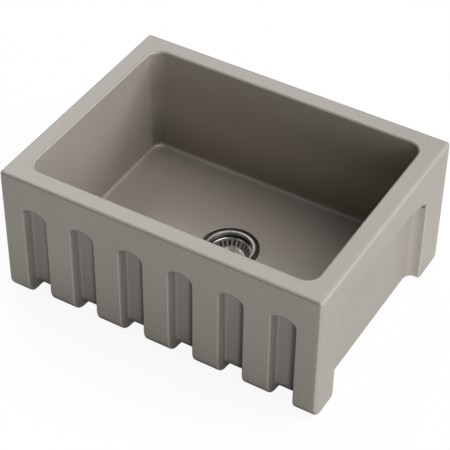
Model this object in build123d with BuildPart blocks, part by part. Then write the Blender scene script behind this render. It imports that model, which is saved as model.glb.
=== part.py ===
from build123d import *
from math import cos, radians, sin
import os

# A farmhouse sink in one piece of glazed fireclay, with a fluted apron, an arched recess in each side
# and a basket strainer in the basin floor.
# Millimetres. Origin at the middle of the base, +Z up, the fluted apron facing -Y.

# Sink, overall
sink_width = 600.0
sink_depth = 457.0
sink_height = 262.0
end_edge_radius = 6.0
top_edge_radius = 5.5
back_base_radius = 10.0
toe_radius = 33.5
end_toe_radius = 24.5

# Basin
side_rim = 34.5
front_rim = 35.0
back_rim = 34.5
basin_floor_height = 47.0
basin_corner_radius = 24.0
basin_floor_radius = 12.0
basin_lip_radius = 4.5

# Underside
floor_slab = 20.0
front_foot = 80.0
back_foot = 45.0
side_foot = 48.0
hollow_corner_radius = 30.0
hollow_roof_chamfer = 8.0

# Flutes in the apron, open at the toe
flute_count = 6
flute_pitch = 94.2
flute_width = 44.5
flute_depth = 20.0
flute_head_gap = 60.5
flute_shoulder_radius = 12.1
flute_crown_turn = 37.0
flute_cove_radius = 7.0
flute_lip_radius = 2.5
flute_toe_radius = 36.5
flute_floor_lift = 1.5

# Arched recess in each side, open at the base between a front leg and a back leg
recess_depth = 22.5
front_leg = 64.0
back_leg = 73.0
recess_head_gap = 61.0
recess_shoulder_radius = 22.4
recess_crown_radius = 155.7
recess_crown_turn = 28.0
recess_cove_radius = 19.0
recess_lip_radius = 3.0
recess_base_radius = 8.5
recess_floor_lift = 1.0
leg_base_radius = 9.0

# A channel's floor leaves its toe curve on a ramp, turned this far round the curve
runout_turn = 60.0
overcut = 8.0
undercut = 45.0
touch = 0.01

# Drain opening in the basin floor
drain_offset = 12.0
drain_hole_radius = 45.0
seat_radius = 53.2
seat_depth = 2.4
seat_lip = 1.0
hole_edge = 1.0

# Strainer body: flange, upper wall, ledge for the basket, threaded lower wall and cup
flange_radius = 52.0
flange_edge = 1.3
flange_rise = 1.2
flange_crown_radius = 46.2
flange_dish = 1.1
mouth_radius = 40.4
mouth_roll_radius = 1.2
ledge_drop = 11.2
ledge_radius = 37.2
strainer_wall = 2.0
thread_height = 1.2
cup_floor_height = 13.0
cup_corner = 3.0

# Outlet spigot, a brass tail with the thread for the waste pipe
outlet_bore_radius = 17.0
spigot_collar_radius = 20.4
spigot_thread_radius = 23.9
spigot_base_gap = 1.0
spigot_chamfer = 0.8

# Clamping set under the basin floor
flange_seal_width = 4.0
flange_seal_thickness = 1.2
gasket_radius = 55.0
gasket_thickness = 3.0
gasket_edge = 0.6
fibre_radius = 54.0
fibre_thickness = 1.0
locknut_height = 9.5
locknut_flange = 2.5
locknut_radius = 47.0
locknut_flange_radius = 53.5
locknut_chamfer = 0.8
lug_count = 8
lug_width = 9.0
lug_reach = 5.5

# Basket
basket_rim_radius = 38.8
basket_rim_height = 1.7
basket_rim_width = 2.6
basket_rim_edge = 0.7
basket_sheet = 0.9
basket_depth = 14.0
basket_floor_radius = 27.5
basket_step_radius = 19.0
basket_step = 0.7
basket_slots = 24
basket_slot_width = 3.4
basket_slot_rim_gap = 1.0
basket_slot_floor_gap = 1.2
basket_holes = 8
basket_hole_radius = 1.6
basket_hole_circle = 14.0

# Stopper: knob, stem and seal, which slide in the basket's hub
stem_radius = 2.5
stem_chamfer = 0.5
stem_tip = 0.8
hub_radius = 5.0
bush_flange_radius = 7.5
bush_flange = 1.5
bush_chamfer = 0.5
bush_tail = 0.3
knob_radius = 9.0
knob_foot_radius = 4.2
knob_height = 4.9
knob_foot_height = 1.6
knob_socket = 3.0
knob_top_chamfer = 1.3
knob_rim_chamfer = 0.8
clip_radius = 4.8
clip_thickness = 1.0
clip_opening = 2.6
cap_radius = 17.0
cap_thickness = 1.2
seal_radius = 22.0
seal_thickness = 3.0
seal_edge = 0.6
washer_radius = 8.0
washer_thickness = 1.0
nut_sides = 6
nut_across_flats = 8.0
nut_height = 3.5

# Clearances
seat_gap = 0.3
running_gap = 0.08
thread_gap = 0.3
fit_gap = 0.1

# Levels and places that follow from the sizes above
front = -sink_depth / 2
back = sink_depth / 2
side = sink_width / 2
underside = basin_floor_height - floor_slab
basin_width = sink_width - 2 * side_rim
basin_length = sink_depth - front_rim - back_rim
basin_middle = (front_rim - back_rim) / 2
hollow_length = sink_depth - front_foot - back_foot
hollow_middle = (front_foot - back_foot) / 2
seat_level = basin_floor_height - seat_depth
flange_base = seat_level + flange_seal_thickness
flange_top = flange_base + flange_edge
crown_top = flange_top + flange_rise
mouth_top = crown_top - flange_dish
ledge_level = basin_floor_height - ledge_drop
shoulder_level = ledge_level - strainer_wall
upper_radius = mouth_radius + strainer_wall
thread_radius = ledge_radius + strainer_wall + thread_height
cup_base = cup_floor_height - strainer_wall
clamp_radius = thread_radius + thread_gap
fibre_top = underside - gasket_thickness
locknut_top = fibre_top - fibre_thickness
rim_base = ledge_level + seat_gap
rim_top = rim_base + basket_rim_height
basket_floor = rim_top - basket_depth
hub_level = basket_floor + basket_step
bush_top = hub_level + bush_flange
bush_base = hub_level - basket_sheet - bush_tail
clip_top = bush_base - seat_gap
cap_top = clip_top - clip_thickness
seal_top = cap_top - cap_thickness
washer_top = seal_top - seal_thickness
nut_top = washer_top - washer_thickness
nut_base = nut_top - nut_height
stopper_travel = washer_top - cup_floor_height - seat_gap
knob_base = bush_top + stopper_travel + seat_gap
knob_top = knob_base + knob_height

os.makedirs("parts", exist_ok=True)
drain_profile = Plane(origin=(0, drain_offset, 0), x_dir=(1, 0, 0), z_dir=(0, -1, 0))
drain_axis = Axis((0, drain_offset, 0), (0, 0, 1))


def drain_level(height):
    """Horizontal plane centred on the drain."""
    return Plane(origin=(0, drain_offset, height))


def corner(radius, level):
    """Corner of the sketch being drawn at a radius and a level."""
    return vertices().sort_by_distance((radius, level))[0]


def at_level(found, axis, level):
    """Those of the found edges whose middles lie on a plane across the axis."""
    return found.filter_by_position(axis, level - touch, level + touch)


def rings(radius):
    """Circular edges of one radius in the solid being built, lowest first."""
    circles = edges().filter_by(GeomType.CIRCLE)
    return circles.filter_by(lambda e: abs(e.radius - radius) < touch).sort_by(Axis.Z)


def save(shape, name):
    """Label a finished piece and write it under its own name."""
    shape.label = name
    export_step(shape, f"parts/{name}.step")


def arch_rise(shoulder_radius, crown_radius, crown_turn):
    """Height of a three-centred arch from its springing to its crown."""
    turn = radians(crown_turn)
    return shoulder_radius * cos(turn) + crown_radius * (1 - cos(turn))


def arch_side(foot, hand, shoulder_radius, crown_radius, crown_turn):
    """One side of a three-centred arch, from its springing to its crown."""
    shoulder = JernArc(foot, (0, 1), shoulder_radius, hand * (90 - crown_turn))
    return JernArc(shoulder @ 1, shoulder % 1, crown_radius, hand * crown_turn)


def run_out(start, hand, radius):
    """A wall's rounded end at the base and its ramp down through the base."""
    toe = JernArc(start, (0, -1), radius, hand * runout_turn)
    return Line(toe @ 1, toe @ 1 + (toe % 1) * (undercut / cos(radians(runout_turn))))


def channel_floor(face, radius, lift, deepest):
    """Outline of the solid that a channel leaves standing: its back, its toe curve and the run-out ramp."""
    spring = (face, radius + lift)
    ramp = run_out(spring, 1, radius)
    Polyline(
        ramp @ 1,
        (deepest, (ramp @ 1).Y),
        (deepest, sink_height),
        (face, sink_height),
        spring,
    )


# One flute, as the solid that it takes out of the apron
flute_face = front + flute_depth
flute_reach = front_foot + 2 * overcut
flute_half = flute_width / 2
flute_turn = radians(flute_crown_turn)
flute_crown_run = flute_half - flute_shoulder_radius * (1 - sin(flute_turn))
flute_arch = (flute_shoulder_radius, flute_crown_run / sin(flute_turn), flute_crown_turn)
flute_spring = sink_height - flute_head_gap - arch_rise(*flute_arch)

with BuildPart() as flute_cutter:
    with BuildSketch(Plane.XZ.offset(-front + overcut)):
        with BuildLine():
            arch_side((-flute_half, flute_spring), -1, *flute_arch)
            arch_side((flute_half, flute_spring), 1, *flute_arch)
            Polyline(
                (-flute_half, flute_spring),
                (-flute_half, -undercut),
                (flute_half, -undercut),
                (flute_half, flute_spring),
            )
        make_face()
    extrude(amount=-(overcut + flute_reach))
    with BuildSketch(Plane.YZ.offset(-flute_width)):
        with BuildLine():
            channel_floor(flute_face, flute_toe_radius, flute_floor_lift, front + 2 * flute_reach)
        make_face()
    extrude(amount=2 * flute_width, mode=Mode.SUBTRACT)
    fillet(at_level(edges(), Axis.Y, flute_face).sort_by(Axis.Z)[-1], flute_cove_radius)

# The left side's recess, as the solid that it takes out
recess_front = front + front_leg
recess_back = back - back_leg
recess_head = sink_height - recess_head_gap
recess_arch = (recess_shoulder_radius, recess_crown_radius, recess_crown_turn)
recess_spring = recess_head - arch_rise(*recess_arch)
leg_base_level = leg_base_radius + recess_floor_lift
recess_face = recess_depth - side
recess_reach = recess_depth + side_foot

with BuildPart() as recess_cutter:
    with BuildSketch(Plane.YZ.offset(-side - overcut)):
        with BuildLine():
            front_side = arch_side((recess_front, recess_spring), -1, *recess_arch)
            back_side = arch_side((recess_back, recess_spring), 1, *recess_arch)
            Line(front_side @ 1, back_side @ 1)
            front_ramp = run_out((recess_front, leg_base_level), -1, leg_base_radius)
            back_ramp = run_out((recess_back, leg_base_level), 1, leg_base_radius)
            Line(front_ramp @ 1, back_ramp @ 1)
            for wall in (recess_front, recess_back):
                Line((wall, leg_base_level), (wall, recess_spring))
        make_face()
    extrude(amount=overcut + recess_reach)
    with BuildSketch(Plane.XZ):
        with BuildLine():
            channel_floor(recess_face, recess_base_radius, recess_floor_lift, 0)
        make_face()
    extrude(amount=sink_depth, both=True, mode=Mode.SUBTRACT)
    fillet(at_level(edges(), Axis.X, recess_face).sort_by(Axis.Z)[-1], recess_cove_radius)

# Sink body, one fireclay casting
with BuildPart() as sink_body:
    with BuildSketch(Plane.YZ.offset(-side)):
        with Locations((0, sink_height / 2)):
            block = Rectangle(sink_depth, sink_height)
        fillet(block.vertices().group_by(Axis.Y)[-1], top_edge_radius)
        fillet(vertices().group_by(Axis.Y)[0].sort_by(Axis.X)[0], end_toe_radius)
        fillet(vertices().group_by(Axis.Y)[0].sort_by(Axis.X)[-1], back_base_radius)
    extrude(amount=sink_width)
    fillet(faces().filter_by(Axis.X).edges(), end_edge_radius)

    # Fuller toe between the outer flutes, whose hollows hide where it meets the tighter toe of the ends
    toe_half = flute_pitch * (flute_count - 1) / 2
    with BuildSketch(Plane.YZ.offset(-toe_half)):
        with BuildLine():
            toe = CenterArc((front + toe_radius, toe_radius), toe_radius, 180, 90)
            Polyline(toe @ 1, (front + toe_radius, -overcut), (front - overcut, -overcut))
            Polyline((front - overcut, -overcut), (front - overcut, toe_radius), toe @ 0)
        make_face()
    extrude(amount=2 * toe_half, mode=Mode.SUBTRACT)

    # Basin
    with BuildSketch(Plane.XY.offset(sink_height)):
        with Locations((0, basin_middle)):
            RectangleRounded(basin_width, basin_length, basin_corner_radius)
    extrude(amount=basin_floor_height - sink_height, mode=Mode.SUBTRACT)
    fillet(at_level(edges(), Axis.Z, basin_floor_height), basin_floor_radius)
    fillet(faces().sort_by(Axis.Z)[-1].inner_wires()[0].edges(), basin_lip_radius)

    # Hollow under the basin floor, inside the foot that carries the sink
    with BuildSketch(Plane.XY):
        with Locations((0, hollow_middle)):
            RectangleRounded(sink_width - 2 * side_foot, hollow_length, hollow_corner_radius)
    extrude(amount=underside, mode=Mode.SUBTRACT)
    chamfer(at_level(edges(), Axis.Z, underside), hollow_roof_chamfer)

    # Drain opening with the shallow seat for the strainer's flange
    with Locations(drain_level(basin_floor_height)):
        CounterBoreHole(drain_hole_radius, seat_radius, seat_depth, floor_slab)

    chamfer(rings(seat_radius)[-1], seat_lip)
    chamfer(rings(drain_hole_radius), hole_edge)

    # Flutes and side recesses, with their lips rounded
    with GridLocations(flute_pitch, flute_pitch, flute_count, 1):
        add(flute_cutter.part, mode=Mode.SUBTRACT)
    add(recess_cutter.part, mode=Mode.SUBTRACT)
    mirror(recess_cutter.part, about=Plane.YZ, mode=Mode.SUBTRACT)
    arches = edges().filter_by(GeomType.CIRCLE)
    fillet(at_level(arches, Axis.Y, front), flute_lip_radius)
    for wall in (-side, side):
        head = edges().sort_by_distance((wall, (recess_front + recess_back) / 2, recess_head))[0]
        fillet(head, recess_lip_radius)

save(sink_body.part, "sink_body")

# Strainer body, a steel pressing that hangs in the drain opening
with BuildPart() as strainer_body:
    with BuildSketch(drain_profile):
        with BuildLine():
            Polyline(
                (upper_radius, flange_base),
                (flange_radius, flange_base),
                (flange_radius, flange_top),
                (flange_crown_radius, crown_top),
                (mouth_radius, mouth_top),
                (mouth_radius, ledge_level),
                (ledge_radius, ledge_level),
                (ledge_radius, cup_floor_height),
                (spigot_collar_radius + fit_gap, cup_floor_height),
                (spigot_collar_radius + fit_gap, cup_base),
                (thread_radius, cup_base),
                (thread_radius, shoulder_level),
                (upper_radius, shoulder_level),
                close=True,
            )
        make_face()
        fillet(corner(mouth_radius, mouth_top), mouth_roll_radius)
        chamfer(corner(ledge_radius, cup_floor_height), cup_corner)
        chamfer(corner(thread_radius, cup_base), cup_corner)
    revolve(axis=drain_axis)

save(strainer_body.part, "strainer_body")

# Outlet spigot, its collar seated in the strainer's cup
with BuildPart() as outlet_spigot:
    with BuildSketch(drain_level(spigot_base_gap)):
        Circle(spigot_thread_radius)
    extrude(amount=cup_base - spigot_base_gap)
    chamfer(edges().group_by(Axis.Z)[0], spigot_chamfer)
    with BuildSketch(drain_level(cup_base)):
        Circle(spigot_collar_radius)
    extrude(amount=strainer_wall)
    with Locations(drain_level(cup_floor_height)):
        Hole(outlet_bore_radius)

save(outlet_spigot.part, "outlet_spigot")

# Soft seal between the flange and its seat
with BuildPart() as flange_seal:
    with BuildSketch(drain_level(seat_level)):
        Circle(flange_radius - fit_gap)
        Circle(flange_radius - fit_gap - flange_seal_width, mode=Mode.SUBTRACT)
    extrude(amount=flange_seal_thickness)

save(flange_seal.part, "flange_seal")

# Rubber gasket and fibre ring under the basin floor
with BuildPart() as drain_gasket:
    with BuildSketch(drain_level(fibre_top)):
        Circle(gasket_radius)
        Circle(clamp_radius, mode=Mode.SUBTRACT)
    extrude(amount=gasket_thickness)
    chamfer(rings(gasket_radius), gasket_edge)

save(drain_gasket.part, "drain_gasket")

with BuildPart() as friction_ring:
    with BuildSketch(drain_level(locknut_top)):
        Circle(fibre_radius)
        Circle(clamp_radius, mode=Mode.SUBTRACT)
    extrude(amount=fibre_thickness)

save(friction_ring.part, "friction_ring")

# Flanged locknut with lugs
with BuildPart() as locknut:
    with BuildSketch(drain_level(locknut_top)):
        Circle(locknut_flange_radius)
    extrude(amount=-locknut_flange)
    with BuildSketch(drain_level(locknut_top)):
        Circle(locknut_radius)
        with PolarLocations(locknut_radius, lug_count):
            Rectangle(2 * lug_reach, lug_width)
    extrude(amount=-locknut_height)
    chamfer(edges().group_by(Axis.Z)[0], locknut_chamfer)
    with Locations(drain_level(locknut_top)):
        Hole(clamp_radius)

save(locknut.part, "locknut")

# Basket: rolled rim, slotted cone and a stepped floor with drain holes
cone_top_radius = basket_rim_radius - basket_rim_width
slot_outer = cone_top_radius - basket_slot_rim_gap
slot_inner = basket_floor_radius + basket_slot_floor_gap

with BuildPart() as basket_cup:
    with BuildSketch(drain_profile):
        with BuildLine():
            Polyline(
                (basket_rim_radius, rim_base),
                (basket_rim_radius, rim_top),
                (cone_top_radius, rim_top),
                (basket_floor_radius, basket_floor),
                (basket_step_radius, basket_floor),
                (basket_step_radius - basket_step, hub_level),
                (hub_radius, hub_level),
                (hub_radius, hub_level - basket_sheet),
                (basket_step_radius - basket_step, hub_level - basket_sheet),
                (basket_step_radius, basket_floor - basket_sheet),
                (basket_floor_radius + basket_sheet, basket_floor - basket_sheet),
                (cone_top_radius + basket_sheet, rim_base),
                close=True,
            )
        make_face()
        chamfer(corner(basket_rim_radius, rim_top), basket_rim_edge)
        chamfer(corner(cone_top_radius, rim_top), basket_rim_edge)
    revolve(axis=drain_axis)
    with BuildSketch(drain_level(rim_base)):
        with PolarLocations((slot_inner + slot_outer) / 2, basket_slots):
            Rectangle(slot_outer - slot_inner, basket_slot_width)
    extrude(amount=-basket_depth, mode=Mode.SUBTRACT)
    with Locations(drain_level(hub_level)):
        with PolarLocations(basket_hole_circle, basket_holes):
            Hole(basket_hole_radius)

save(basket_cup.part, "basket_cup")

# Guide bush, the hub in which the stem slides
with BuildPart() as guide_bush:
    with BuildSketch(drain_level(bush_base)):
        Circle(hub_radius - fit_gap)
    extrude(amount=bush_top - bush_base)
    with BuildSketch(drain_level(hub_level)):
        Circle(bush_flange_radius)
    extrude(amount=bush_flange)
    chamfer(edges().group_by(Axis.Z)[-1], bush_chamfer)
    with Locations(drain_level(bush_top)):
        Hole(stem_radius + running_gap)

save(guide_bush.part, "guide_bush")

# Stem, from its socket in the knob down through the nut
with BuildPart() as stem:
    with BuildSketch(drain_level(nut_base - stem_tip)):
        Circle(stem_radius)
    extrude(amount=knob_base + knob_socket - nut_base + stem_tip)
    chamfer(edges().group_by(Axis.Z)[0], stem_chamfer)

save(stem.part, "stem")

# Knob, a low turned button on a narrow foot
with BuildPart() as knob:
    with BuildSketch(drain_profile):
        with BuildLine():
            Polyline(
                (0, knob_top),
                (knob_radius, knob_top),
                (knob_radius, knob_base + knob_foot_height),
                (knob_foot_radius, knob_base + knob_foot_height),
                (knob_foot_radius, knob_base),
                (0, knob_base),
                close=True,
            )
        make_face()
        chamfer(corner(knob_radius, knob_top), knob_top_chamfer)
        chamfer(corner(knob_radius, knob_base + knob_foot_height), knob_rim_chamfer)
    revolve(axis=drain_axis)
    with BuildSketch(drain_level(knob_base)):
        Circle(stem_radius + fit_gap)
    extrude(amount=knob_socket + fit_gap, mode=Mode.SUBTRACT)

save(knob.part, "knob")

# Clip ring on the stem, open on one side
with BuildPart() as stem_clip:
    with BuildSketch(drain_level(cap_top)):
        Circle(clip_radius)
        Circle(stem_radius + fit_gap, mode=Mode.SUBTRACT)
        with Locations((0, -clip_radius / 2)):
            Rectangle(clip_opening, clip_radius, mode=Mode.SUBTRACT)
    extrude(amount=clip_thickness)

save(stem_clip.part, "stem_clip")

# Steel cap, rubber seal and washer, stacked on the stem
with BuildPart() as seal_cap:
    with BuildSketch(drain_level(seal_top)):
        Circle(cap_radius)
        Circle(stem_radius + fit_gap, mode=Mode.SUBTRACT)
    extrude(amount=cap_thickness)

save(seal_cap.part, "seal_cap")

with BuildPart() as stopper_seal:
    with BuildSketch(drain_level(washer_top)):
        Circle(seal_radius)
        Circle(stem_radius + fit_gap, mode=Mode.SUBTRACT)
    extrude(amount=seal_thickness)
    chamfer(rings(seal_radius)[0], seal_edge)

save(stopper_seal.part, "stopper_seal")

with BuildPart() as seal_washer:
    with BuildSketch(drain_level(nut_top)):
        Circle(washer_radius)
        Circle(stem_radius + fit_gap, mode=Mode.SUBTRACT)
    extrude(amount=washer_thickness)

save(seal_washer.part, "seal_washer")

# Hexagon nut on the stem's lower end
with BuildPart() as stem_nut:
    with BuildSketch(drain_level(nut_base)):
        RegularPolygon(nut_across_flats / 2, nut_sides, major_radius=False)
        Circle(stem_radius + fit_gap, mode=Mode.SUBTRACT)
    extrude(amount=nut_height)

save(stem_nut.part, "stem_nut")
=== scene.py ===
import math

import bpy
from mathutils import Matrix, Vector

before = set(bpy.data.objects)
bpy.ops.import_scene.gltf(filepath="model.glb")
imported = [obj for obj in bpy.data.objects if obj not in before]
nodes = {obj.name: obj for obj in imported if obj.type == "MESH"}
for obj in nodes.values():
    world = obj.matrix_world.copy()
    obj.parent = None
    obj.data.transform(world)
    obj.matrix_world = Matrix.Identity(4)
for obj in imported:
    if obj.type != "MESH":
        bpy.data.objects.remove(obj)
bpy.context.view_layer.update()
print("frame loaded:", len(nodes), "pieces")


# camera, at the photograph's viewing angle

cameraView = {
    "azimuth": 30.09,
    "elevation": 41.753,
    "roll": 0.867,
    "distance": 2.9172,
    "right": -0.0016,
    "up": 0.0817,
    "lens": 132.49,
    "sensorWidth": 36,
    "farthest": 50,
}


def placeCamera(s):
    azimuth, elevation, roll = (math.radians(s[key]) for key in ("azimuth", "elevation", "roll"))
    level = math.cos(elevation)
    back = Vector((math.sin(azimuth) * level, -math.cos(azimuth) * level, math.sin(elevation)))
    flatRight = Vector((math.cos(azimuth), math.sin(azimuth), 0))
    flatUp = back.cross(flatRight)
    right = math.cos(roll) * flatRight + math.sin(roll) * flatUp
    up = math.cos(roll) * flatUp - math.sin(roll) * flatRight
    data = bpy.data.cameras.new("camera")
    data.sensor_width = s["sensorWidth"]
    data.lens = s["lens"]
    data.clip_end = s["farthest"]
    camera = bpy.data.objects.new("camera", data)
    place = right * s["right"] + up * s["up"] + back * s["distance"]
    turn = Matrix((right, up, back)).transposed().to_4x4()
    camera.matrix_world = Matrix.Translation(place) @ turn
    bpy.context.scene.collection.objects.link(camera)
    bpy.context.scene.camera = camera


placeCamera(cameraView)
print("camera placed")


# node building

def colour(hexText):
    # a web colour as the linear value that a shader wants
    parts = [int(hexText[i:i + 2], 16) / 255 for i in (0, 2, 4)]
    return [c / 12.92 if c < 0.0405 else ((c + 0.055) / 1.055) ** 2.4 for c in parts] + [1.0]


def newMaterial(name):
    material = bpy.data.materials.new(name)
    material.use_nodes = True
    return material, material.node_tree, material.node_tree.nodes["Principled BSDF"]


def addNode(tree, kind, inputs=None, **settings):
    node = tree.nodes.new("ShaderNode" + kind)
    for key, value in settings.items():
        setattr(node, key, value)
    for key, value in (inputs or {}).items():
        node.inputs[key].default_value = value
    return node


def join(tree, out, into):
    tree.links.new(out, into)


def feed(tree, value, socket):
    # a plain number or colour is set on the socket, anything else is joined to it
    if isinstance(value, (int, float, list, tuple)):
        socket.default_value = value
    else:
        join(tree, value, socket)


def maths(tree, operation, *values):
    node = addNode(tree, "Math", operation=operation)
    for place, value in enumerate(values):
        feed(tree, value, node.inputs[place])
    return node.outputs[0]


def product(tree, *masks):
    result = masks[0]
    for mask in masks[1:]:
        result = maths(tree, "MULTIPLY", result, mask)
    return result


def mixed(tree, factor, first, second):
    node = addNode(tree, "MixRGB")
    for place, value in enumerate((factor, first, second)):
        feed(tree, value, node.inputs[place])
    return node.outputs[0]


def tinted(tree, toned, mask, hexText):
    return mixed(tree, mask, toned, colour(hexText))


def ramped(tree, value, span, toMin, toMax):
    # from toMin to toMax as the value goes over the span, whose two ends may stand in either order
    node = addNode(tree, "MapRange", interpolation_type="SMOOTHSTEP")
    for key, number in zip(("From Min", "From Max", "To Min", "To Max"), (*span, toMin, toMax)):
        feed(tree, number, node.inputs[key])
    join(tree, value, node.inputs["Value"])
    return node.outputs["Result"]


def rising(tree, value, span, top=1.0):
    return ramped(tree, value, span, 0.0, top)


def falling(tree, value, span):
    return ramped(tree, value, span, 1.0, 0.0)


def between(tree, value, span):
    # up over the first two of the span's four values, and down over the last two
    return product(tree, rising(tree, value, span[:2]), falling(tree, value, span[2:]))


def readSurface(tree):
    # where a point is, in metres, and how far its surface faces each way, from -1 to 1
    place = addNode(tree, "TexCoord")
    where = addNode(tree, "SeparateXYZ")
    join(tree, place.outputs["Object"], where.inputs[0])
    turned = addNode(tree, "SeparateXYZ")
    join(tree, addNode(tree, "NewGeometry").outputs["Normal"], turned.inputs[0])
    at = {"point": place.outputs["Object"]}
    for axis in "XYZ":
        at[axis.lower()] = where.outputs[axis]
        at["face" + axis] = turned.outputs[axis]
    at["fromMiddle"] = maths(tree, "ABSOLUTE", at["x"])
    at["towardsSide"] = maths(tree, "ABSOLUTE", at["faceX"])
    return at


def newGroup(name, inputs, outputs):
    group = bpy.data.node_groups.new(name, "ShaderNodeTree")
    for label, value in inputs:
        socket = group.interface.new_socket(name=label, in_out="INPUT", socket_type="NodeSocketFloat")
        socket.default_value = value
    for label in outputs:
        group.interface.new_socket(name=label, in_out="OUTPUT", socket_type="NodeSocketFloat")
    return group, group.nodes.new("NodeGroupInput"), group.nodes.new("NodeGroupOutput")


def placeGroup(tree, group, **values):
    node = addNode(tree, "Group", node_tree=group)
    for key, value in values.items():
        node.inputs[key.replace("_", " ")].default_value = value
    return node


# studio: a pale floor, and wide soft lamps placed by compass angle and height in degrees

studio = {
    "lamps": {
        "lowRight": {"around": 0, "height": 15, "strength": 0.2, "width": 20},
        "right": {"around": 0, "height": 45, "strength": 0.675, "width": 36},
        "rightBack": {"around": 30, "height": 25, "strength": 0.78, "width": 20},
        "back": {"around": 135, "height": 45, "strength": 0.91, "width": 36},
        "lowFront": {"around": 315, "height": 15, "strength": 0.49, "width": 36},
        "highRight": {"around": 45, "height": 72, "strength": 0.644, "width": 36},
        "highLeft": {"around": 200, "height": 65, "strength": 0.06, "width": 12},
    },
    "lampDistance": 3.0,
    "skyColour": "ffffff",
    "skyInReflections": 0.04,
    "floorSize": 14.0,
    "floorColour": "ececeb",
    "floorFleck": "f1f1f0",
    "floorGrain": 600.0,
    "floorRoughness": 0.9,
    "floorSpecular": 0.1,
    "floorGlow": 1.05,
    "floorGlowShare": 0.88,
}


def placeLamps(s):
    for name, lamp in s["lamps"].items():
        around = math.radians(lamp["around"])
        height = math.radians(lamp["height"])
        level = math.cos(height)
        towards = Vector((math.cos(around) * level, math.sin(around) * level, math.sin(height)))
        data = bpy.data.lights.new(name, "SUN")
        data.energy = lamp["strength"]
        data.angle = math.radians(lamp["width"])
        sun = bpy.data.objects.new(name, data)
        sun.location = towards * s["lampDistance"]
        sun.rotation_euler = (-towards).to_track_quat("-Z", "Y").to_euler()
        bpy.context.scene.collection.objects.link(sun)


def makeSky(s):
    # white to the camera, faint in reflections, and no light of its own on anything else
    world = bpy.data.worlds.new("sky")
    world.use_nodes = True
    tree = world.node_tree
    paint = tree.nodes["Background"]
    paint.inputs["Color"].default_value = colour(s["skyColour"])
    paths = addNode(tree, "LightPath")
    faint = product(tree, paths.outputs["Is Glossy Ray"], s["skyInReflections"])
    join(tree, maths(tree, "MAXIMUM", faint, paths.outputs["Is Camera Ray"]), paint.inputs["Strength"])
    bpy.context.scene.world = world


def makeFloor(s):
    half = s["floorSize"] / 2
    corners = [(-half, -half, 0), (half, -half, 0), (half, half, 0), (-half, half, 0)]
    mesh = bpy.data.meshes.new("studioFloor")
    mesh.from_pydata(corners, [], [(0, 1, 2, 3)])
    floor = bpy.data.objects.new("studioFloor", mesh)
    bpy.context.scene.collection.objects.link(floor)
    paper, tree, base = newMaterial("palePaper")
    grain = addNode(tree, "TexNoise", {"Scale": s["floorGrain"]})
    join(tree, addNode(tree, "TexCoord").outputs["Object"], grain.inputs["Vector"])
    tone = mixed(tree, grain.outputs["Fac"], colour(s["floorColour"]), colour(s["floorFleck"]))
    join(tree, tone, base.inputs["Base Color"])
    base.inputs["Roughness"].default_value = s["floorRoughness"]
    base.inputs["Specular IOR Level"].default_value = s["floorSpecular"]
    # most of it is plain white to the camera, and the rest shows the sink's shadow
    glow = addNode(tree, "Emission", {"Strength": s["floorGlow"]})
    share = product(tree, addNode(tree, "LightPath").outputs["Is Camera Ray"], s["floorGlowShare"])
    both = addNode(tree, "MixShader")
    for place, value in enumerate((share, base.outputs[0], glow.outputs[0])):
        join(tree, value, both.inputs[place])
    join(tree, both.outputs[0], tree.nodes["Material Output"].inputs["Surface"])
    mesh.materials.append(paper)


placeLamps(studio)
makeSky(studio)
makeFloor(studio)
print("studio built")


# shared effects

turning = {
    "drainCentre": (0.0, 0.012, 0.0),
    "noiseDetail": 2.0,
    "edgeFaces": (0.03, 0.25),
}


def makeGrainGroup():
    # two sizes of noise, for glaze, rubber, plastic and cast metal
    group, take, give = newGroup(
        "surfaceGrain",
        [("Broad Scale", 12.0), ("Fine Scale", 400.0), ("Fine Share", 0.4)],
        ["Broad", "Fine", "Grain"],
    )
    place = addNode(group, "TexCoord")
    broad = addNode(group, "TexNoise", {"Detail": 3.0, "Roughness": 0.5})
    fine = addNode(group, "TexNoise", {"Detail": 4.0, "Roughness": 0.6})
    for noise, scale in ((broad, "Broad Scale"), (fine, "Fine Scale")):
        join(group, place.outputs["Object"], noise.inputs["Vector"])
        join(group, take.outputs[scale], noise.inputs["Scale"])
    rest = maths(group, "SUBTRACT", 1.0, take.outputs["Fine Share"])
    low = product(group, broad.outputs["Fac"], rest)
    both = maths(group, "MULTIPLY_ADD", fine.outputs["Fac"], take.outputs["Fine Share"], low)
    join(group, broad.outputs["Fac"], give.inputs["Broad"])
    join(group, fine.outputs["Fac"], give.inputs["Fine"])
    join(group, both, give.inputs["Grain"])
    return group


def makeEdgeGroup():
    # where a surface faces none of the part's three main directions, it is on a rounded edge
    group, take, give = newGroup("roundedEdge", [("Start", 0.02), ("End", 0.22)], ["Edge"])
    size = addNode(group, "VectorMath", operation="ABSOLUTE")
    join(group, addNode(group, "NewGeometry").outputs["Normal"], size.inputs[0])
    parts = addNode(group, "SeparateXYZ")
    join(group, size.outputs[0], parts.inputs[0])
    sides = maths(group, "MAXIMUM", parts.outputs["X"], parts.outputs["Y"])
    most = maths(group, "MAXIMUM", sides, parts.outputs["Z"])
    off = maths(group, "SUBTRACT", 1.0, most)
    join(group, rising(group, off, (take.outputs["Start"], take.outputs["End"])), give.inputs["Edge"])
    return group


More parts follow.
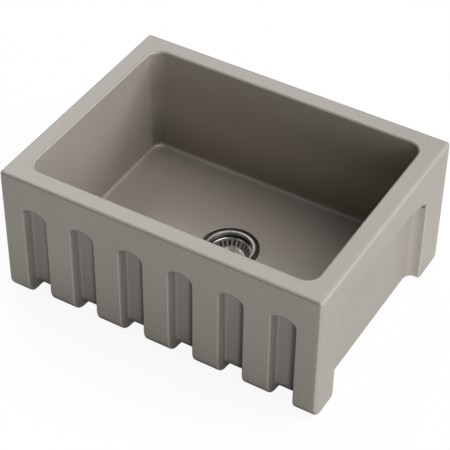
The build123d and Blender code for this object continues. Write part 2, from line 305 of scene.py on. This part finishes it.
def makeTurnedGroup(s):
    # fine lines left by turning and polishing round the drain's axis, and the streaks across them
    group, take, give = newGroup(
        "turnedLines",
        [("Ring Density", 2500.0), ("Streak Density", 40.0), ("Streak Share", 0.3)],
        ["Lines", "Radius", "Edge"],
    )
    shift = addNode(group, "VectorMath", operation="SUBTRACT")
    shift.inputs[1].default_value = s["drainCentre"]
    join(group, addNode(group, "TexCoord").outputs["Object"], shift.inputs[0])
    parts = addNode(group, "SeparateXYZ")
    join(group, shift.outputs[0], parts.inputs[0])
    flat = addNode(group, "CombineXYZ")
    join(group, parts.outputs["X"], flat.inputs["X"])
    join(group, parts.outputs["Y"], flat.inputs["Y"])
    length = addNode(group, "VectorMath", operation="LENGTH")
    join(group, flat.outputs[0], length.inputs[0])
    around = addNode(group, "VectorMath", operation="NORMALIZE")
    join(group, flat.outputs[0], around.inputs[0])

    alongWall = maths(group, "ADD", length.outputs["Value"], parts.outputs["Z"])
    ringPlace = addNode(group, "CombineXYZ")
    join(group, product(group, alongWall, take.outputs["Ring Density"]), ringPlace.inputs["X"])
    rings = addNode(group, "TexNoise", {"Scale": 1.0, "Detail": s["noiseDetail"]})
    join(group, ringPlace.outputs[0], rings.inputs["Vector"])
    wide = addNode(group, "VectorMath", operation="SCALE")
    join(group, around.outputs[0], wide.inputs[0])
    join(group, take.outputs["Streak Density"], wide.inputs["Scale"])
    streaks = addNode(group, "TexNoise", {"Scale": 1.0, "Detail": s["noiseDetail"]})
    join(group, wide.outputs[0], streaks.inputs["Vector"])
    rest = maths(group, "SUBTRACT", 1.0, take.outputs["Streak Share"])
    low = product(group, rings.outputs["Fac"], rest)
    lines = maths(group, "MULTIPLY_ADD", streaks.outputs["Fac"], take.outputs["Streak Share"], low)
    join(group, lines, give.inputs["Lines"])
    join(group, length.outputs["Value"], give.inputs["Radius"])

    # a rounded edge faces neither up or down nor straight out from the axis
    facing = addNode(group, "NewGeometry")
    outward = addNode(group, "VectorMath", operation="DOT_PRODUCT")
    join(group, facing.outputs["Normal"], outward.inputs[0])
    join(group, around.outputs[0], outward.inputs[1])
    upward = addNode(group, "SeparateXYZ")
    join(group, facing.outputs["Normal"], upward.inputs[0])
    outwardSize = maths(group, "ABSOLUTE", outward.outputs["Value"])
    upwardSize = maths(group, "ABSOLUTE", upward.outputs["Z"])
    off = maths(group, "SUBTRACT", 1.0, maths(group, "MAXIMUM", outwardSize, upwardSize))
    join(group, rising(group, off, s["edgeFaces"]), give.inputs["Edge"])
    return group


def makeHeightGroup():
    # how far up the part a point is, as a soft mask between two levels
    group, take, give = newGroup("heightMask", [("Low", 0.0), ("High", 0.01)], ["Above"])
    parts = addNode(group, "SeparateXYZ")
    join(group, addNode(group, "TexCoord").outputs["Object"], parts.inputs[0])
    levels = (take.outputs["Low"], take.outputs["High"])
    join(group, rising(group, parts.outputs["Z"], levels), give.inputs["Above"])
    return group


surfaceGrain = makeGrainGroup()
roundedEdge = makeEdgeGroup()
turnedLines = makeTurnedGroup(turning)
heightMask = makeHeightGroup()
print("shared effects made")


# the sink: matte taupe glaze over fireclay, bare clay where it stands and inside the foot, and tones of
# painted shade and painted highlight tied to places on it.
# In its settings, a pair of numbers is where a mask starts and ends, and four are where it rises and falls.
# They are metres on the sink, but where the name ends in Faces, how far the surface faces a way, from -1 to 1

glaze = {
    "main": "b9b3a9",
    "broadScale": 9.0,
    "fineScale": 260.0,
    "fineShare": 0.35,
    "cloud": "bcb6ac",
    "cloudNoise": (0.35, 0.65),
    "mottle": "b2aca2",
    "mottleNoise": (0.3, 0.75),
    "mottleShare": 0.35,
    "speck": "8d857b",
    "speckScale": 210.0,
    "speckRarity": 0.9,
    "speckSize": (0.10, 0.22),
    "speckShare": 0.12,
    "roughness": 0.3,
    "roughnessSwing": 0.02,
    "roughnessNoise": (0.3, 0.7),
    "specular": 0.5,
    "rippleStrength": 0.5,
    "rippleHeight": 0.00002,
    # pale is the colour of the painted highlights and painted light, shade the colour of the painted shade
    "pale": "e2ded7",
    "shade": "453f3a",
}


def glazeGround(tree, at, grain, s):
    cloudy = rising(tree, grain.outputs["Broad"], s["cloudNoise"])
    toned = mixed(tree, cloudy, colour(s["main"]), colour(s["cloud"]))
    mottle = rising(tree, grain.outputs["Fine"], s["mottleNoise"], s["mottleShare"])
    toned = tinted(tree, toned, mottle, s["mottle"])
    # sparse pin specks of iron
    cells = addNode(tree, "TexVoronoi", {"Scale": s["speckScale"]})
    join(tree, at["point"], cells.inputs["Vector"])
    few = addNode(tree, "TexWhiteNoise")
    join(tree, cells.outputs["Position"], few.inputs["Vector"])
    rare = maths(tree, "GREATER_THAN", few.outputs["Value"], s["speckRarity"])
    dot = falling(tree, cells.outputs["Distance"], s["speckSize"])
    return tinted(tree, toned, product(tree, rare, dot, s["speckShare"]), s["speck"])


basinGlaze = {
    "sides": (0.2625, 0.2675),
    "front": (-0.1965, -0.1915),
    "back": (0.192, 0.197),
    "depth": (0.18, 0.258),
    "wallFaces": (0.3, 0.8),
    "basinShade": "aca49b",
    "basinShadeOnWalls": 0.3,
    "shade": "6f675e",
    "footHeight": (0.05, 0.22),
    "footShare": 0.8,
    "rearWall": (0.06, 0.19),
    "rearShare": 0.38,
    "rightEnd": (0.06, 0.26),
    "rightShare": 0.36,
    "leftWall": (-0.255, -0.235),
    "leftHeight": (0.09, 0.25),
    "leftFront": (0.02, 0.17),
    "leftShare": 0.27,
    "filletFaces": (0.6, 0.74, 0.8, 0.92),
    "filletHeight": (0.056, 0.06),
    "floorLine": "ece6dc",
    "floorLineShare": 0.3,
    "cornerShare": 0.9,
    "cornerFaces": (0.08, 0.2),
}


def glazeBasin(tree, at, toned, s, pale):
    inBasin = product(
        tree,
        falling(tree, at["fromMiddle"], s["sides"]),
        rising(tree, at["y"], s["front"]),
        falling(tree, at["y"], s["back"]),
    )
    deepInBasin = product(tree, inBasin, falling(tree, at["z"], s["depth"]))
    onWall = falling(tree, maths(tree, "ABSOLUTE", at["faceZ"]), s["wallFaces"])
    # painted shade: the basin darkens below the rim, fully on its floor and less on its walls, the walls
    # darken further to their foot and to the rear, and the basin to the right
    basinShadeShare = product(tree, deepInBasin, ramped(tree, onWall, (0.0, 1.0), 1.0, s["basinShadeOnWalls"]))
    toned = tinted(tree, toned, basinShadeShare, s["basinShade"])
    foot = product(tree, deepInBasin, onWall, falling(tree, at["z"], s["footHeight"]), s["footShare"])
    rear = product(tree, deepInBasin, onWall, rising(tree, at["y"], s["rearWall"], s["rearShare"]))
    toned = tinted(tree, toned, maths(tree, "MAXIMUM", foot, rear), s["shade"])
    # painted shade toward the basin's right end
    rightEnd = product(tree, deepInBasin, rising(tree, at["x"], s["rightEnd"], s["rightShare"]))
    toned = tinted(tree, toned, rightEnd, s["shade"])
    # painted light: paler toward the top and front of the basin's left wall
    leftTop = product(
        tree,
        onWall,
        inBasin,
        falling(tree, at["x"], s["leftWall"]),
        rising(tree, at["z"], s["leftHeight"], s["leftShare"]),
        falling(tree, at["y"], s["leftFront"]),
    )
    toned = tinted(tree, toned, leftTop, pale)
    # a pale line of painted highlight along the fillet between floor and walls, strongest in the corners
    onFillet = product(tree, deepInBasin, between(tree, at["faceZ"], s["filletFaces"]))
    nearFloor = falling(tree, at["z"], s["filletHeight"])
    bothWays = maths(tree, "ABSOLUTE", product(tree, at["faceX"], at["faceY"]))
    line = ramped(tree, bothWays, s["cornerFaces"], s["floorLineShare"], s["cornerShare"])
    return tinted(tree, toned, product(tree, onFillet, nearFloor, line), s["floorLine"])


rimGlaze = {
    "height": (0.2605, 0.2618),
    "levelFaces": (0.9, 0.99),
    "farCorner": (-0.1, 0.4),
    "farShare": 0.17,
}


def glazeRim(tree, at, toned, s, pale):
    # painted light: paler toward the rear right corner
    onTop = product(tree, rising(tree, at["z"], s["height"]), rising(tree, at["faceZ"], s["levelFaces"]))
    across = maths(tree, "ADD", at["x"], at["y"])
    far = rising(tree, across, s["farCorner"], s["farShare"])
    return tinted(tree, toned, product(tree, onTop, far), pale)


hollowGlaze = {
    "tone": "b0aaa5",
    "belowHead": (0.2, 0.203),
    "fluteDepth": (-0.227, -0.213, -0.206, -0.2),
    "fluteEnds": (0.259, 0.262),
    "recessDepth": (0.268, 0.275, 0.283, 0.298),
    "betweenLegs": (-0.167, -0.157, 0.148, 0.158),
    "recessShare": 0.35,
    "rearCove": "dad4cb",
    "rearCoveShare": 0.75,
    "rearCoveFaces": (-0.7, -0.15),
    "rearCoveDepth": (0.266, 0.27),
    "rearCoveFrom": (0.1, 0.13),
    "cove": "8a837e",
    "coveShare": 0.45,
    "coveFaces": (0.5, 0.75, 0.93, 0.995),
    "coveLine": "c6c1bb",
    "coveLineShare": 0.3,
    "coveLineFaces": (0.12, 0.25, 0.4, 0.5),
}


def glazeHollows(tree, at, toned, inFlute, s):
    # painted shade: greyer and darker in the flutes and side recesses, with a paler rear cove in each recess
    # as painted light
    belowHead = falling(tree, at["z"], s["belowHead"])
    inRecess = product(
        tree,
        between(tree, at["fromMiddle"], s["recessDepth"]),
        belowHead,
        between(tree, at["y"], s["betweenLegs"]),
        s["recessShare"],
    )
    toned = tinted(tree, toned, maths(tree, "MAXIMUM", inFlute, inRecess), s["tone"])
    # painted light: a paler rear cove in each recess
    rearCove = product(
        tree,
        falling(tree, at["faceY"], s["rearCoveFaces"]),
        rising(tree, at["fromMiddle"], s["rearCoveDepth"]),
        belowHead,
        rising(tree, at["y"], s["rearCoveFrom"], s["rearCoveShare"]),
    )
    toned = tinted(tree, toned, rearCove, s["rearCove"])
    # painted shade: each flute's coves are darker, with a pale line of painted highlight where the left one
    # meets the back
    cove = product(tree, inFlute, between(tree, at["towardsSide"], s["coveFaces"]), s["coveShare"])
    toned = tinted(tree, toned, cove, s["cove"])
    # painted highlight: the pale line where the left cove meets the back
    line = product(tree, inFlute, between(tree, at["faceX"], s["coveLineFaces"]), s["coveLineShare"])
    return tinted(tree, toned, line, s["coveLine"])


edgeGlaze = {
    "edgeFaces": (0.03, 0.26),
    "edgeShare": 0.6,
    "side": (0.295, 0.2975),
    "aboveRecess": (0.215, 0.225),
    "betweenLegs": (-0.173, -0.169, 0.155, 0.159),
    "top": (0.2555, 0.258),
    "back": (0.2225, 0.225),
    "softSide": (0.2905, 0.2985),
    "softTop": (0.2525, 0.2605),
    "softShare": 0.5,
    "frontEdge": "8f8270",
    "frontEdgeShare": 0.5,
    "front": (-0.2265, -0.2245),
    "frontTop": (0.25, 0.257),
    "frontEdgeFaces": (0.2, 0.4, 0.7, 0.88),
    "frontEndFaces": (0.1, 0.3),
}


def glazeEdges(tree, at, toned, s, pale):
    # painted highlight: paler over the outer rounded edges, but not on the lips of the side recesses, and in a
    # soft band along the top edges of both ends
    start, end = s["edgeFaces"]
    edge = placeGroup(tree, roundedEdge, Start=start, End=end)
    onLegs = maths(tree, "SUBTRACT", 1.0, between(tree, at["y"], s["betweenLegs"]))
    offRecess = maths(tree, "MAXIMUM", rising(tree, at["z"], s["aboveRecess"]), onLegs)
    atSide = product(tree, rising(tree, at["fromMiddle"], s["side"]), offRecess)
    atTop = rising(tree, at["z"], s["top"])
    atBack = rising(tree, at["y"], s["back"])
    outer = maths(tree, "MAXIMUM", atSide, maths(tree, "MAXIMUM", atTop, atBack))
    edgeHighlight = product(tree, edge.outputs["Edge"], outer, s["edgeShare"])
    nearSide = rising(tree, at["fromMiddle"], s["softSide"])
    nearTop = rising(tree, at["z"], s["softTop"])
    soft = product(tree, nearSide, nearTop, s["softShare"])
    toned = tinted(tree, toned, maths(tree, "MAXIMUM", edgeHighlight, soft), pale)
    # a tan line of painted shade along the edge between rim and apron, but not round its ends
    frontEdge = product(
        tree,
        between(tree, at["faceZ"], s["frontEdgeFaces"]),
        falling(tree, at["towardsSide"], s["frontEndFaces"]),
        falling(tree, at["y"], s["front"]),
        rising(tree, at["z"], s["frontTop"], s["frontEdgeShare"]),
    )
    return tinted(tree, toned, frontEdge, s["frontEdge"])


lipGlaze = {
    "headFaces": (-0.98, -0.9, -0.3, -0.06),
    "headHeight": (0.1, 0.11, 0.215, 0.22),
    "apronLip": (-0.222, -0.216),
    "sideLip": (0.284, 0.29),
    "headShare": 0.75,
    "offEnds": (0.262, 0.264),
    "fluteReach": (-0.2, -0.196),
    "rightLipFaces": (-0.15, -0.7),
    "rightLipShare": 0.6,
    "flutePitch": 0.0942,
    "flutesEachSide": 3,
    "rightSide": (0.0, 0.0095),
    "rightSideShare": 0.7,
    "leftLipFaces": (0.2, 0.4, 0.75, 0.9),
    "leftLipReach": (-0.223, -0.221),
    "leftLipShare": 0.32,
    "rearLipFaces": (-0.15, -0.4),
    "rearLipSide": (0.2955, 0.297),
    "rearLipAlong": (0.14, 0.15, 0.17, 0.18),
    "rearLipHeight": (0.17, 0.19),
    "rearLipShare": 0.7,
}


def glazeLips(tree, at, toned, inFlute, s, pale, shade):
    # painted shade under the arched heads of flutes and recesses
    onApron = falling(tree, at["y"], s["apronLip"])
    onSide = rising(tree, at["fromMiddle"], s["sideLip"])
    head = product(
        tree,
        between(tree, at["faceZ"], s["headFaces"]),
        between(tree, at["z"], s["headHeight"]),
        maths(tree, "MAXIMUM", onApron, onSide),
        s["headShare"],
    )
    toned = tinted(tree, toned, head, shade)
    # painted shade down each flute's right lip and the right side of its back
    offEnds = falling(tree, at["fromMiddle"], s["offEnds"])
    beside = product(tree, falling(tree, at["y"], s["fluteReach"]), offEnds)
    rightLip = product(tree, rising(tree, at["faceX"], s["rightLipFaces"], s["rightLipShare"]), beside)
    toned = tinted(tree, toned, rightLip, shade)
    pitch = s["flutePitch"]
    fromLeft = maths(tree, "ADD", at["x"], pitch * s["flutesEachSide"])
    fromCentre = maths(tree, "SUBTRACT", maths(tree, "FLOORED_MODULO", fromLeft, pitch), pitch / 2.0)
    towardsRight = rising(tree, fromCentre, s["rightSide"])
    rightSide = product(tree, towardsRight, towardsRight, s["rightSideShare"], inFlute)
    toned = tinted(tree, toned, rightSide, shade)
    # a pale line of painted highlight on each flute's left lip, and on the lip in front of each rear leg
    leftLip = product(
        tree,
        between(tree, at["faceX"], s["leftLipFaces"]),
        falling(tree, at["y"], s["leftLipReach"]),
        offEnds,
        s["leftLipShare"],
    )
    toned = tinted(tree, toned, leftLip, pale)
    # painted highlight on the lip in front of each rear leg
    rearLip = product(
        tree,
        rising(tree, at["faceY"], s["rearLipFaces"], s["rearLipShare"]),
        rising(tree, at["fromMiddle"], s["rearLipSide"]),
        between(tree, at["y"], s["rearLipAlong"]),
        falling(tree, at["z"], s["rearLipHeight"]),
    )
    return tinted(tree, toned, rearLip, pale)


footGlaze = {
    "toe": "6a635b",
    "toeFaces": (-0.02, -0.6),
    "toeReach": (-0.196, -0.19),
    "toeHeight": (0.04, 0.05),
    "toeShare": 0.75,
    "clay": "cfc6b6",
    "clayDark": "b9ad9a",
    "clayRoughness": 0.92,
    "clayHeight": (0.0275, 0.0285),
    "soleFaces": (-0.75, -0.95),
    "hollowHalfWidth": 0.2535,
    "hollowHalfDepth": 0.1675,
    "hollowCentre": 0.0175,
}


def glazeToe(tree, at, toned, s):
    # painted shade where the toe curls under
    toe = product(
        tree,
        rising(tree, at["faceZ"], s["toeFaces"], s["toeShare"]),
        falling(tree, at["y"], s["toeReach"]),
        falling(tree, at["z"], s["toeHeight"]),
    )
    return tinted(tree, toned, toe, s["toe"])


def bareFoot(tree, at, s):
    # unglazed under the foot and up the hollow below the floor
    low, high = s["clayHeight"]
    raised = placeGroup(tree, heightMask, Low=low, High=high)
    sole = rising(tree, at["faceZ"], s["soleFaces"])
    inWidth = maths(tree, "LESS_THAN", at["fromMiddle"], s["hollowHalfWidth"])
    fromCentre = maths(tree, "ABSOLUTE", maths(tree, "SUBTRACT", at["y"], s["hollowCentre"]))
    inDepth = maths(tree, "LESS_THAN", fromCentre, s["hollowHalfDepth"])
    anyBare = maths(tree, "MAXIMUM", sole, product(tree, inWidth, inDepth))
    return product(tree, anyBare, maths(tree, "SUBTRACT", 1.0, raised.outputs["Above"]))


def makeGlaze(s):
    material, tree, base = newMaterial("matteTaupeGlaze")
    grain = placeGroup(
        tree, surfaceGrain, Broad_Scale=s["broadScale"], Fine_Scale=s["fineScale"], Fine_Share=s["fineShare"]
    )
    at = readSurface(tree)
    inFlute = product(
        tree,
        between(tree, at["y"], hollowGlaze["fluteDepth"]),
        falling(tree, at["z"], hollowGlaze["belowHead"]),
        falling(tree, at["fromMiddle"], hollowGlaze["fluteEnds"]),
    )
    toned = glazeGround(tree, at, grain, s)
    toned = glazeBasin(tree, at, toned, basinGlaze, s["pale"])
    toned = glazeRim(tree, at, toned, rimGlaze, s["pale"])
    toned = glazeHollows(tree, at, toned, inFlute, hollowGlaze)
    toned = glazeEdges(tree, at, toned, edgeGlaze, s["pale"])
    toned = glazeLips(tree, at, toned, inFlute, lipGlaze, s["pale"], s["shade"])
    toned = glazeToe(tree, at, toned, footGlaze)
    bare = bareFoot(tree, at, footGlaze)
    clay = mixed(tree, grain.outputs["Fine"], colour(footGlaze["clay"]), colour(footGlaze["clayDark"]))
    join(tree, mixed(tree, bare, toned, clay), base.inputs["Base Color"])

    smoothest = s["roughness"] - s["roughnessSwing"]
    roughest = s["roughness"] + s["roughnessSwing"]
    glazed = ramped(tree, grain.outputs["Grain"], s["roughnessNoise"], smoothest, roughest)
    rough = ramped(tree, bare, (0.0, 1.0), glazed, footGlaze["clayRoughness"])
    join(tree, rough, base.inputs["Roughness"])
    base.inputs["Specular IOR Level"].default_value = s["specular"]
    ripple = addNode(tree, "Bump", {"Strength": s["rippleStrength"], "Distance": s["rippleHeight"]})
    join(tree, grain.outputs["Grain"], ripple.inputs["Height"])
    join(tree, ripple.outputs["Normal"], base.inputs["Normal"])
    return material


# steel, chrome, brass, cast metal: turned or pressed round the drain's axis

metalSurface = {
    "broadScale": 60.0,
    "fineScale": 1500.0,
    "fineShare": 0.5,
    "shadeNoise": (0.35, 0.65),
    "roughnessNoise": (0.3, 0.7),
    "stainNoise": (0.55, 0.8),
    "reliefStrength": 0.6,
}
strainerSteel = {
    "light": "d9d6d1", "dark": "a5a19b", "edge": "eceae6", "edgeShare": 0.3,
    "stain": "8f8983", "stainShare": 0.1, "rings": 2600.0, "streaks": 130.0, "streakShare": 0.45,
    "roughness": 0.24, "swing": 0.07, "relief": 0.00001, "castShare": 0.05,
    "flange": {
        "outer": "544d48", "outerRadius": (0.0436, 0.0442), "outerRoughness": 0.4,
        "band": "d2d0cd", "bandDark": "8c8a87", "bandRoughness": 0.42,
        "bandRadius": (0.0394, 0.0402, 0.0436, 0.0442), "bandHeight": (0.0416, 0.042),
        "line": "2e2b29", "lineRadius": (0.039, 0.0398, 0.0408, 0.0412),
        "upperLine": (0.0395, 0.0398, 0.0416, 0.042), "lowerLine": (0.0356, 0.036, 0.0372, 0.0376),
    },
}
basketSteel = {
    "light": "ebe9e6", "dark": "9c9a96", "edge": "f6f5f2", "edgeShare": 0.8,
    "stain": "8f8983", "stainShare": 0.1, "rings": 1800.0, "streaks": 60.0, "streakShare": 0.25,
    "roughness": 0.27, "swing": 0.06, "relief": 0.00002, "castShare": 0.1,
}
plainSteel = {
    "light": "c9c6c2", "dark": "a5a29d", "edge": "dedbd7", "edgeShare": 0.4,
    "stain": "7d7871", "stainShare": 0.15, "rings": 3200.0, "streaks": 50.0, "streakShare": 0.3,
    "roughness": 0.3, "swing": 0.08, "relief": 0.00003, "castShare": 0.2,
}
knobChrome = {
    "light": "e6e5e3", "dark": "d3d2cf", "edge": "f4f3f1", "edgeShare": 0.4,
    "stain": "9b9a97", "stainShare": 0.08, "rings": 4200.0, "streaks": 30.0, "streakShare": 0.2,
    "roughness": 0.09, "swing": 0.03, "relief": 0.00001, "castShare": 0.05,
}
spigotBrass = {
    "light": "c9a15a", "dark": "a9803f", "edge": "dcbb78", "edgeShare": 0.6,
    "stain": "6d5230", "stainShare": 0.4, "rings": 1500.0, "streaks": 25.0, "streakShare": 0.2,
    "roughness": 0.34, "swing": 0.1, "relief": 0.00004, "castShare": 0.3,
}
nutCasting = {
    "light": "a7a6a3", "dark": "8b8a87", "edge": "bdbcb9", "edgeShare": 0.7,
    "stain": "6b6965", "stainShare": 0.35, "rings": 500.0, "streaks": 18.0, "streakShare": 0.4,
    "roughness": 0.52, "swing": 0.1, "relief": 0.00008, "castShare": 0.85,
}


def finishFlange(tree, radius, shade, toned, rough, s):
    # a satin outer slope darkened with painted shade, a brushed dished band, and two dark lines of painted
    # shade round the mouth's wall
    outer = rising(tree, radius, s["outerRadius"])
    low, high = s["bandHeight"]
    raised = placeGroup(tree, heightMask, Low=low, High=high)
    band = product(tree, between(tree, radius, s["bandRadius"]), raised.outputs["Above"])
    # painted shade on the outer slope
    toned = tinted(tree, toned, outer, s["outer"])
    brushed = mixed(tree, shade, colour(s["bandDark"]), colour(s["band"]))
    toned = mixed(tree, band, toned, brushed)
    # painted shade: two dark lines round the mouth's wall, at two heights
    parts = addNode(tree, "SeparateXYZ")
    join(tree, addNode(tree, "TexCoord").outputs["Object"], parts.inputs[0])
    upperLine = between(tree, parts.outputs["Z"], s["upperLine"])
    lowerLine = between(tree, parts.outputs["Z"], s["lowerLine"])
    onWall = between(tree, radius, s["lineRadius"])
    toned = tinted(tree, toned, product(tree, maths(tree, "MAXIMUM", upperLine, lowerLine), onWall), s["line"])
    rough = ramped(tree, band, (0.0, 1.0), rough, s["bandRoughness"])
    rough = ramped(tree, outer, (0.0, 1.0), rough, s["outerRoughness"])
    return toned, rough


def makeMetal(name, s, general=metalSurface):
    material, tree, base = newMaterial(name)
    lines = placeGroup(
        tree, turnedLines, Ring_Density=s["rings"], Streak_Density=s["streaks"], Streak_Share=s["streakShare"]
    )
    grain = placeGroup(
        tree,
        surfaceGrain,
        Broad_Scale=general["broadScale"],
        Fine_Scale=general["fineScale"],
        Fine_Share=general["fineShare"],
    )
    shade = rising(tree, lines.outputs["Lines"], general["shadeNoise"])
    toned = mixed(tree, shade, colour(s["dark"]), colour(s["light"]))
    # painted highlight: paler on rounded edges
    toned = tinted(tree, toned, product(tree, lines.outputs["Edge"], s["edgeShare"]), s["edge"])
    stain = rising(tree, grain.outputs["Broad"], general["stainNoise"], s["stainShare"])
    toned = tinted(tree, toned, stain, s["stain"])
    smoothest = s["roughness"] - s["swing"]
    roughest = s["roughness"] + s["swing"]
    rough = ramped(tree, lines.outputs["Lines"], general["roughnessNoise"], smoothest, roughest)
    if "flange" in s:
        toned, rough = finishFlange(tree, lines.outputs["Radius"], shade, toned, rough, s["flange"])
    join(tree, toned, base.inputs["Base Color"])
    base.inputs["Metallic"].default_value = 1.0
    join(tree, rough, base.inputs["Roughness"])
    relief = addNode(tree, "Bump", {"Strength": general["reliefStrength"], "Distance": s["relief"]})
    height = mixed(tree, s["castShare"], lines.outputs["Lines"], grain.outputs["Fine"])
    join(tree, height, relief.inputs["Height"])
    join(tree, relief.outputs["Normal"], base.inputs["Normal"])
    return material


# rubber, fibre and plastic

softSurface = {
    "fineShare": 0.6,
    "streaks": 20.0,
    "streakShare": 0.2,
    "noise": (0.3, 0.7),
    "roughnessSwing": 0.08,
    "reliefStrength": 0.5,
}
gasketRubber = {
    "dark": "18181a", "light": "262627", "edge": "3a3a3b", "edgeShare": 0.4, "broad": 40.0, "fine": 900.0,
    "rings": 700.0, "roughness": 0.68, "relief": 0.00006, "mouldShare": 0.3,
}
sealRubber = {
    "dark": "2b2a29", "light": "3a3938", "edge": "4a4948", "edgeShare": 0.3, "broad": 60.0, "fine": 1300.0,
    "rings": 500.0, "roughness": 0.8, "relief": 0.0001, "mouldShare": 0.1,
}
stopperRubber = {
    "dark": "131314", "light": "1f1f20", "edge": "343435", "edgeShare": 0.4, "broad": 50.0, "fine": 1100.0,
    "rings": 1200.0, "roughness": 0.55, "relief": 0.00004, "mouldShare": 0.6,
}
pressedFibre = {
    "dark": "6b5236", "light": "8a6f4d", "edge": "a58d68", "edgeShare": 0.5, "broad": 120.0, "fine": 2200.0,
    "rings": 300.0, "roughness": 0.85, "relief": 0.00008, "mouldShare": 0.15,
}
bushPlastic = {
    "dark": "cfccc4", "light": "dedbd3", "edge": "eae8e2", "edgeShare": 0.4, "broad": 80.0, "fine": 1600.0,
    "rings": 900.0, "roughness": 0.48, "relief": 0.00002, "mouldShare": 0.4,
}


def makeSoft(name, s, general=softSurface):
    material, tree, base = newMaterial(name)
    grain = placeGroup(
        tree, surfaceGrain, Broad_Scale=s["broad"], Fine_Scale=s["fine"], Fine_Share=general["fineShare"]
    )
    lines = placeGroup(
        tree,
        turnedLines,
        Ring_Density=s["rings"],
        Streak_Density=general["streaks"],
        Streak_Share=general["streakShare"],
    )
    shade = rising(tree, grain.outputs["Grain"], general["noise"])
    toned = mixed(tree, shade, colour(s["dark"]), colour(s["light"]))
    # painted highlight: paler on rounded edges
    toned = tinted(tree, toned, product(tree, lines.outputs["Edge"], s["edgeShare"]), s["edge"])
    join(tree, toned, base.inputs["Base Color"])
    smoothest = s["roughness"] - general["roughnessSwing"]
    roughest = s["roughness"] + general["roughnessSwing"]
    rough = ramped(tree, grain.outputs["Fine"], general["noise"], smoothest, roughest)
    join(tree, rough, base.inputs["Roughness"])
    relief = addNode(tree, "Bump", {"Strength": general["reliefStrength"], "Distance": s["relief"]})
    height = mixed(tree, s["mouldShare"], grain.outputs["Fine"], lines.outputs["Lines"])
    join(tree, height, relief.inputs["Height"])
    join(tree, relief.outputs["Normal"], base.inputs["Normal"])
    return material


def dress(material, *pieces):
    for piece in pieces:
        mesh = nodes[piece].data
        mesh.materials.clear()
        mesh.materials.append(material)


dress(makeGlaze(glaze), "sink_body")
dress(makeMetal("turnedSteel", plainSteel), "stem", "stem_clip", "seal_cap", "seal_washer", "stem_nut")
dress(makeMetal("polishedStrainerSteel", strainerSteel), "strainer_body")
dress(makeMetal("polishedBasketSteel", basketSteel), "basket_cup")
dress(makeMetal("turnedBrass", spigotBrass), "outlet_spigot")
dress(makeMetal("castNutMetal", nutCasting), "locknut")
dress(makeMetal("knobChrome", knobChrome), "knob")
dress(makeSoft("softSealRubber", sealRubber), "flange_seal")
dress(makeSoft("gasketRubber", gasketRubber), "drain_gasket")
dress(makeSoft("stopperRubber", stopperRubber), "stopper_seal")
dress(makeSoft("pressedFibre", pressedFibre), "friction_ring")
dress(makeSoft("mouldedBushPlastic", bushPlastic), "guide_bush")
print("finishes applied")

bpy.context.scene.view_settings.view_transform = "Standard"
